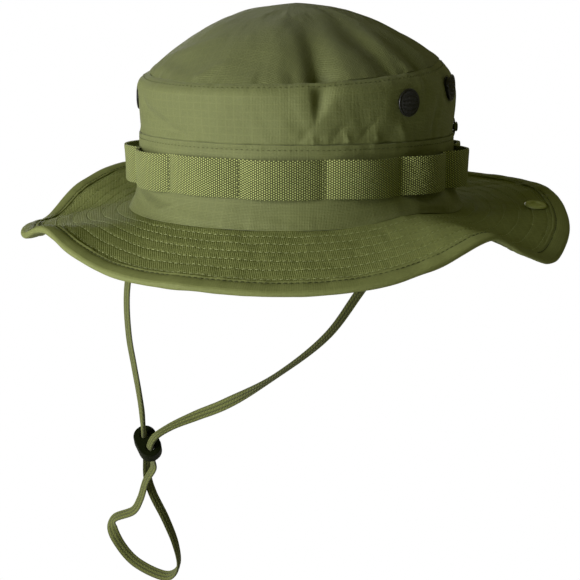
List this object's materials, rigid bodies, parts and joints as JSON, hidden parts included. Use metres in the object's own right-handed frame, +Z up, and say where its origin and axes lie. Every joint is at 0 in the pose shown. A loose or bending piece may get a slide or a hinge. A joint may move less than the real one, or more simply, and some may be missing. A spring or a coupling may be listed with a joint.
{
  "type": "boonie hat",
  "caption": "Soft round sun hat with a wavy stitched brim whose sides snap up, screened side vents, webbing loops round the crown, and a flat chin cord with a sliding toggle.",
  "frame": {"origin": "centre of the head opening, at the height of the crown's lower edge, where the head holds the hat", "axes": "+Z up through the crown, -Y to the front of the hat, +X to the wearer's left"},
  "size_m": [0.3156, 0.3282, 0.3445],
  "materials": {
    "crown_cloth": "rip-stop cotton blend, washed olive, dry matt",
    "brim_cloth": "rip-stop cotton blend, washed olive, rows of stitching",
    "sweatband_cloth": "plain twill, soft and matt",
    "webbing": "coarse plain-woven nylon webbing",
    "binding": "thin woven tape, slight sheen",
    "stiffener": "felted interlining, never seen",
    "thread": "tight polyester thread",
    "cord_braid": "flat braid with three ribs",
    "vent_metal": "gunmetal enamel, semi-gloss",
    "vent_mesh": "fine dark wire gauze",
    "stud_metal": "gunmetal enamel, semi-gloss",
    "snap_enamel": "dark olive enamel, slight gloss",
    "toggle_plastic": "moulded, very dark olive, fine grain"
  },
  "bodies": {
    "root": {"crown_top": "crown_cloth", "crown_side": "crown_cloth", "crown_band": "crown_cloth", "top_seam_tape": "crown_cloth", "sweatband": "sweatband_cloth", "webbing_front": "webbing", "webbing_left": "webbing", "webbing_back": "webbing", "webbing_right": "webbing", "webbing_bartacks": "thread", "brim_top_cloth": "brim_cloth", "brim_stiffener": "stiffener", "brim_under_cloth": "brim_cloth", "brim_binding": "binding", "vent_eyelet_left_front": "vent_metal", "vent_eyelet_left_rear": "vent_metal", "vent_eyelet_right_front": "vent_metal", "vent_eyelet_right_rear": "vent_metal", "vent_screen_left_front": "vent_mesh", "vent_screen_left_rear": "vent_mesh", "vent_screen_right_front": "vent_mesh", "vent_screen_right_rear": "vent_mesh", "vent_washer_left_front": "vent_metal", "vent_washer_left_rear": "vent_metal", "vent_washer_right_front": "vent_metal", "vent_washer_right_rear": "vent_metal", "crown_stud_left": "stud_metal", "crown_stud_right": "stud_metal", "crown_stud_cap_left": "stud_metal", "crown_stud_cap_right": "stud_metal", "cord_anchor_left": "webbing", "cord_anchor_right": "webbing"},
    "left_flap": {"left_flap_top_cloth": "brim_cloth", "left_flap_stiffener": "stiffener", "left_flap_under_cloth": "brim_cloth", "left_flap_binding": "binding", "brim_socket_left": "snap_enamel", "brim_socket_cap_left": "snap_enamel"},
    "right_flap": {"right_flap_top_cloth": "brim_cloth", "right_flap_stiffener": "stiffener", "right_flap_under_cloth": "brim_cloth", "right_flap_binding": "binding", "brim_socket_right": "snap_enamel", "brim_socket_cap_right": "snap_enamel"},
    "chin_strap": {"chin_cord": "cord_braid"},
    "toggle": {"cord_toggle": "toggle_plastic"}
  },
  "joints": [
    {"name": "left_brim_fold", "type": "hinge", "parent": "root", "child": "left_flap", "pos_m": [0.0896, 0.04765, 0.005], "axis": [0.4695, -0.8829, 0], "range_deg": [0, 100], "stiffness_Nm_per_rad": 0.01},
    {"name": "right_brim_fold", "type": "hinge", "parent": "root", "child": "right_flap", "pos_m": [-0.0896, 0.04765, 0.005], "axis": [0.4695, 0.8829, 0], "range_deg": [0, 89], "stiffness_Nm_per_rad": 0.01},
    {"name": "chin_strap_swing", "type": "hinge", "parent": "root", "child": "chin_strap", "pos_m": [0, -0.047, -0.009], "axis": [1, 0, 0], "range_deg": [-60, 60]},
    {"name": "toggle_slide", "type": "slide", "parent": "chin_strap", "child": "toggle", "axis": [-0.3333, 0.6667, -0.6667], "range_m": [0, 0.008]}
  ]
}
